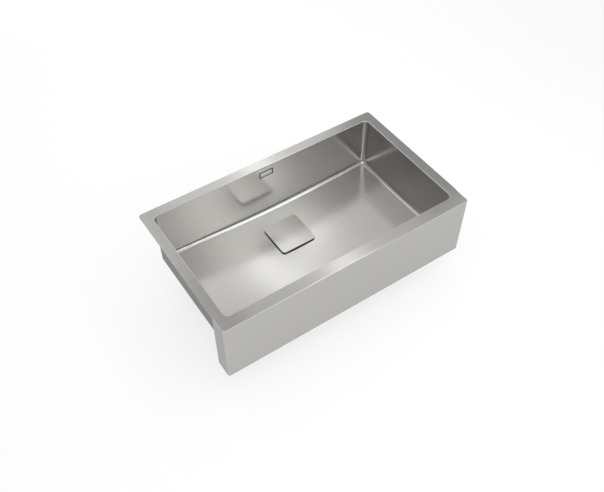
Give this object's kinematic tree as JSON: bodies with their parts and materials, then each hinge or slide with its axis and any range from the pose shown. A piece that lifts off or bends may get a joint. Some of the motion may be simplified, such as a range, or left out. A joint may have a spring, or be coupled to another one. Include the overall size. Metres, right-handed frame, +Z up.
{
  "type": "kitchen sink",
  "caption": "Apron-front stainless steel kitchen sink with one deep bowl, a covered strainer waste and an overflow.",
  "frame": {"origin": "middle of the bowl's mouth, on the underside of the rim that rests on the worktop or cabinet", "axes": "+X along the length to the right, +Y from the apron to the rear, +Z up out of the bowl"},
  "size_m": [0.8, 0.468, 0.2814],
  "materials": {
    "bowl_steel": "satin pressed steel, unpolished on the outside",
    "rim_steel": "finely brushed",
    "cover_steel": "finely brushed",
    "strainer_steel": "polished",
    "fastener_steel": "bright",
    "brass": "machined",
    "sound_pad": "matte, faintly pebbled",
    "seal_rubber": "matte",
    "waste_plastic": "moulded polypropylene",
    "overflow_plastic": "moulded black polypropylene",
    "nut_plastic": "moulded polypropylene"
  },
  "bodies": {
    "sink": {"bowl": "bowl_steel", "rim_and_apron": "rim_steel", "apron_brackets": "rim_steel", "base_pad_left": "sound_pad", "base_pad_right": "sound_pad", "rear_pad_left": "sound_pad", "rear_pad_right": "sound_pad", "front_pad": "sound_pad", "strainer_cup": "strainer_steel", "cup_gasket": "seal_rubber", "waste_gasket": "seal_rubber", "waste_body": "waste_plastic", "waste_insert": "brass", "waste_screw": "fastener_steel", "overflow_body": "overflow_plastic", "overflow_gasket": "seal_rubber", "overflow_studs": "fastener_steel", "overflow_nuts": "fastener_steel", "overflow_pipe": "overflow_plastic", "overflow_upper_nut": "nut_plastic", "overflow_upper_seal": "seal_rubber", "overflow_lower_nut": "nut_plastic", "overflow_lower_seal": "seal_rubber"},
    "basket": {"strainer_basket": "strainer_steel", "basket_seal": "seal_rubber", "basket_knob": "strainer_steel", "basket_catch": "nut_plastic", "basket_nut": "fastener_steel"},
    "cover": {"drain_cover": "cover_steel", "cover_feet": "seal_rubber"},
    "overflow_plate": {"overflow_cover": "cover_steel"}
  },
  "joints": [
    {"name": "basket_lift", "type": "slide", "parent": "sink", "child": "basket", "axis": [0, 0, 1], "range_m": [0, 0.25]},
    {"name": "cover_lift", "type": "slide", "parent": "basket", "child": "cover", "axis": [0, 0, 1], "range_m": [0, 0.22]},
    {"name": "overflow_cover_pull", "type": "slide", "parent": "sink", "child": "overflow_plate", "axis": [0, -1, 0], "range_m": [0, 0.06]}
  ]
}
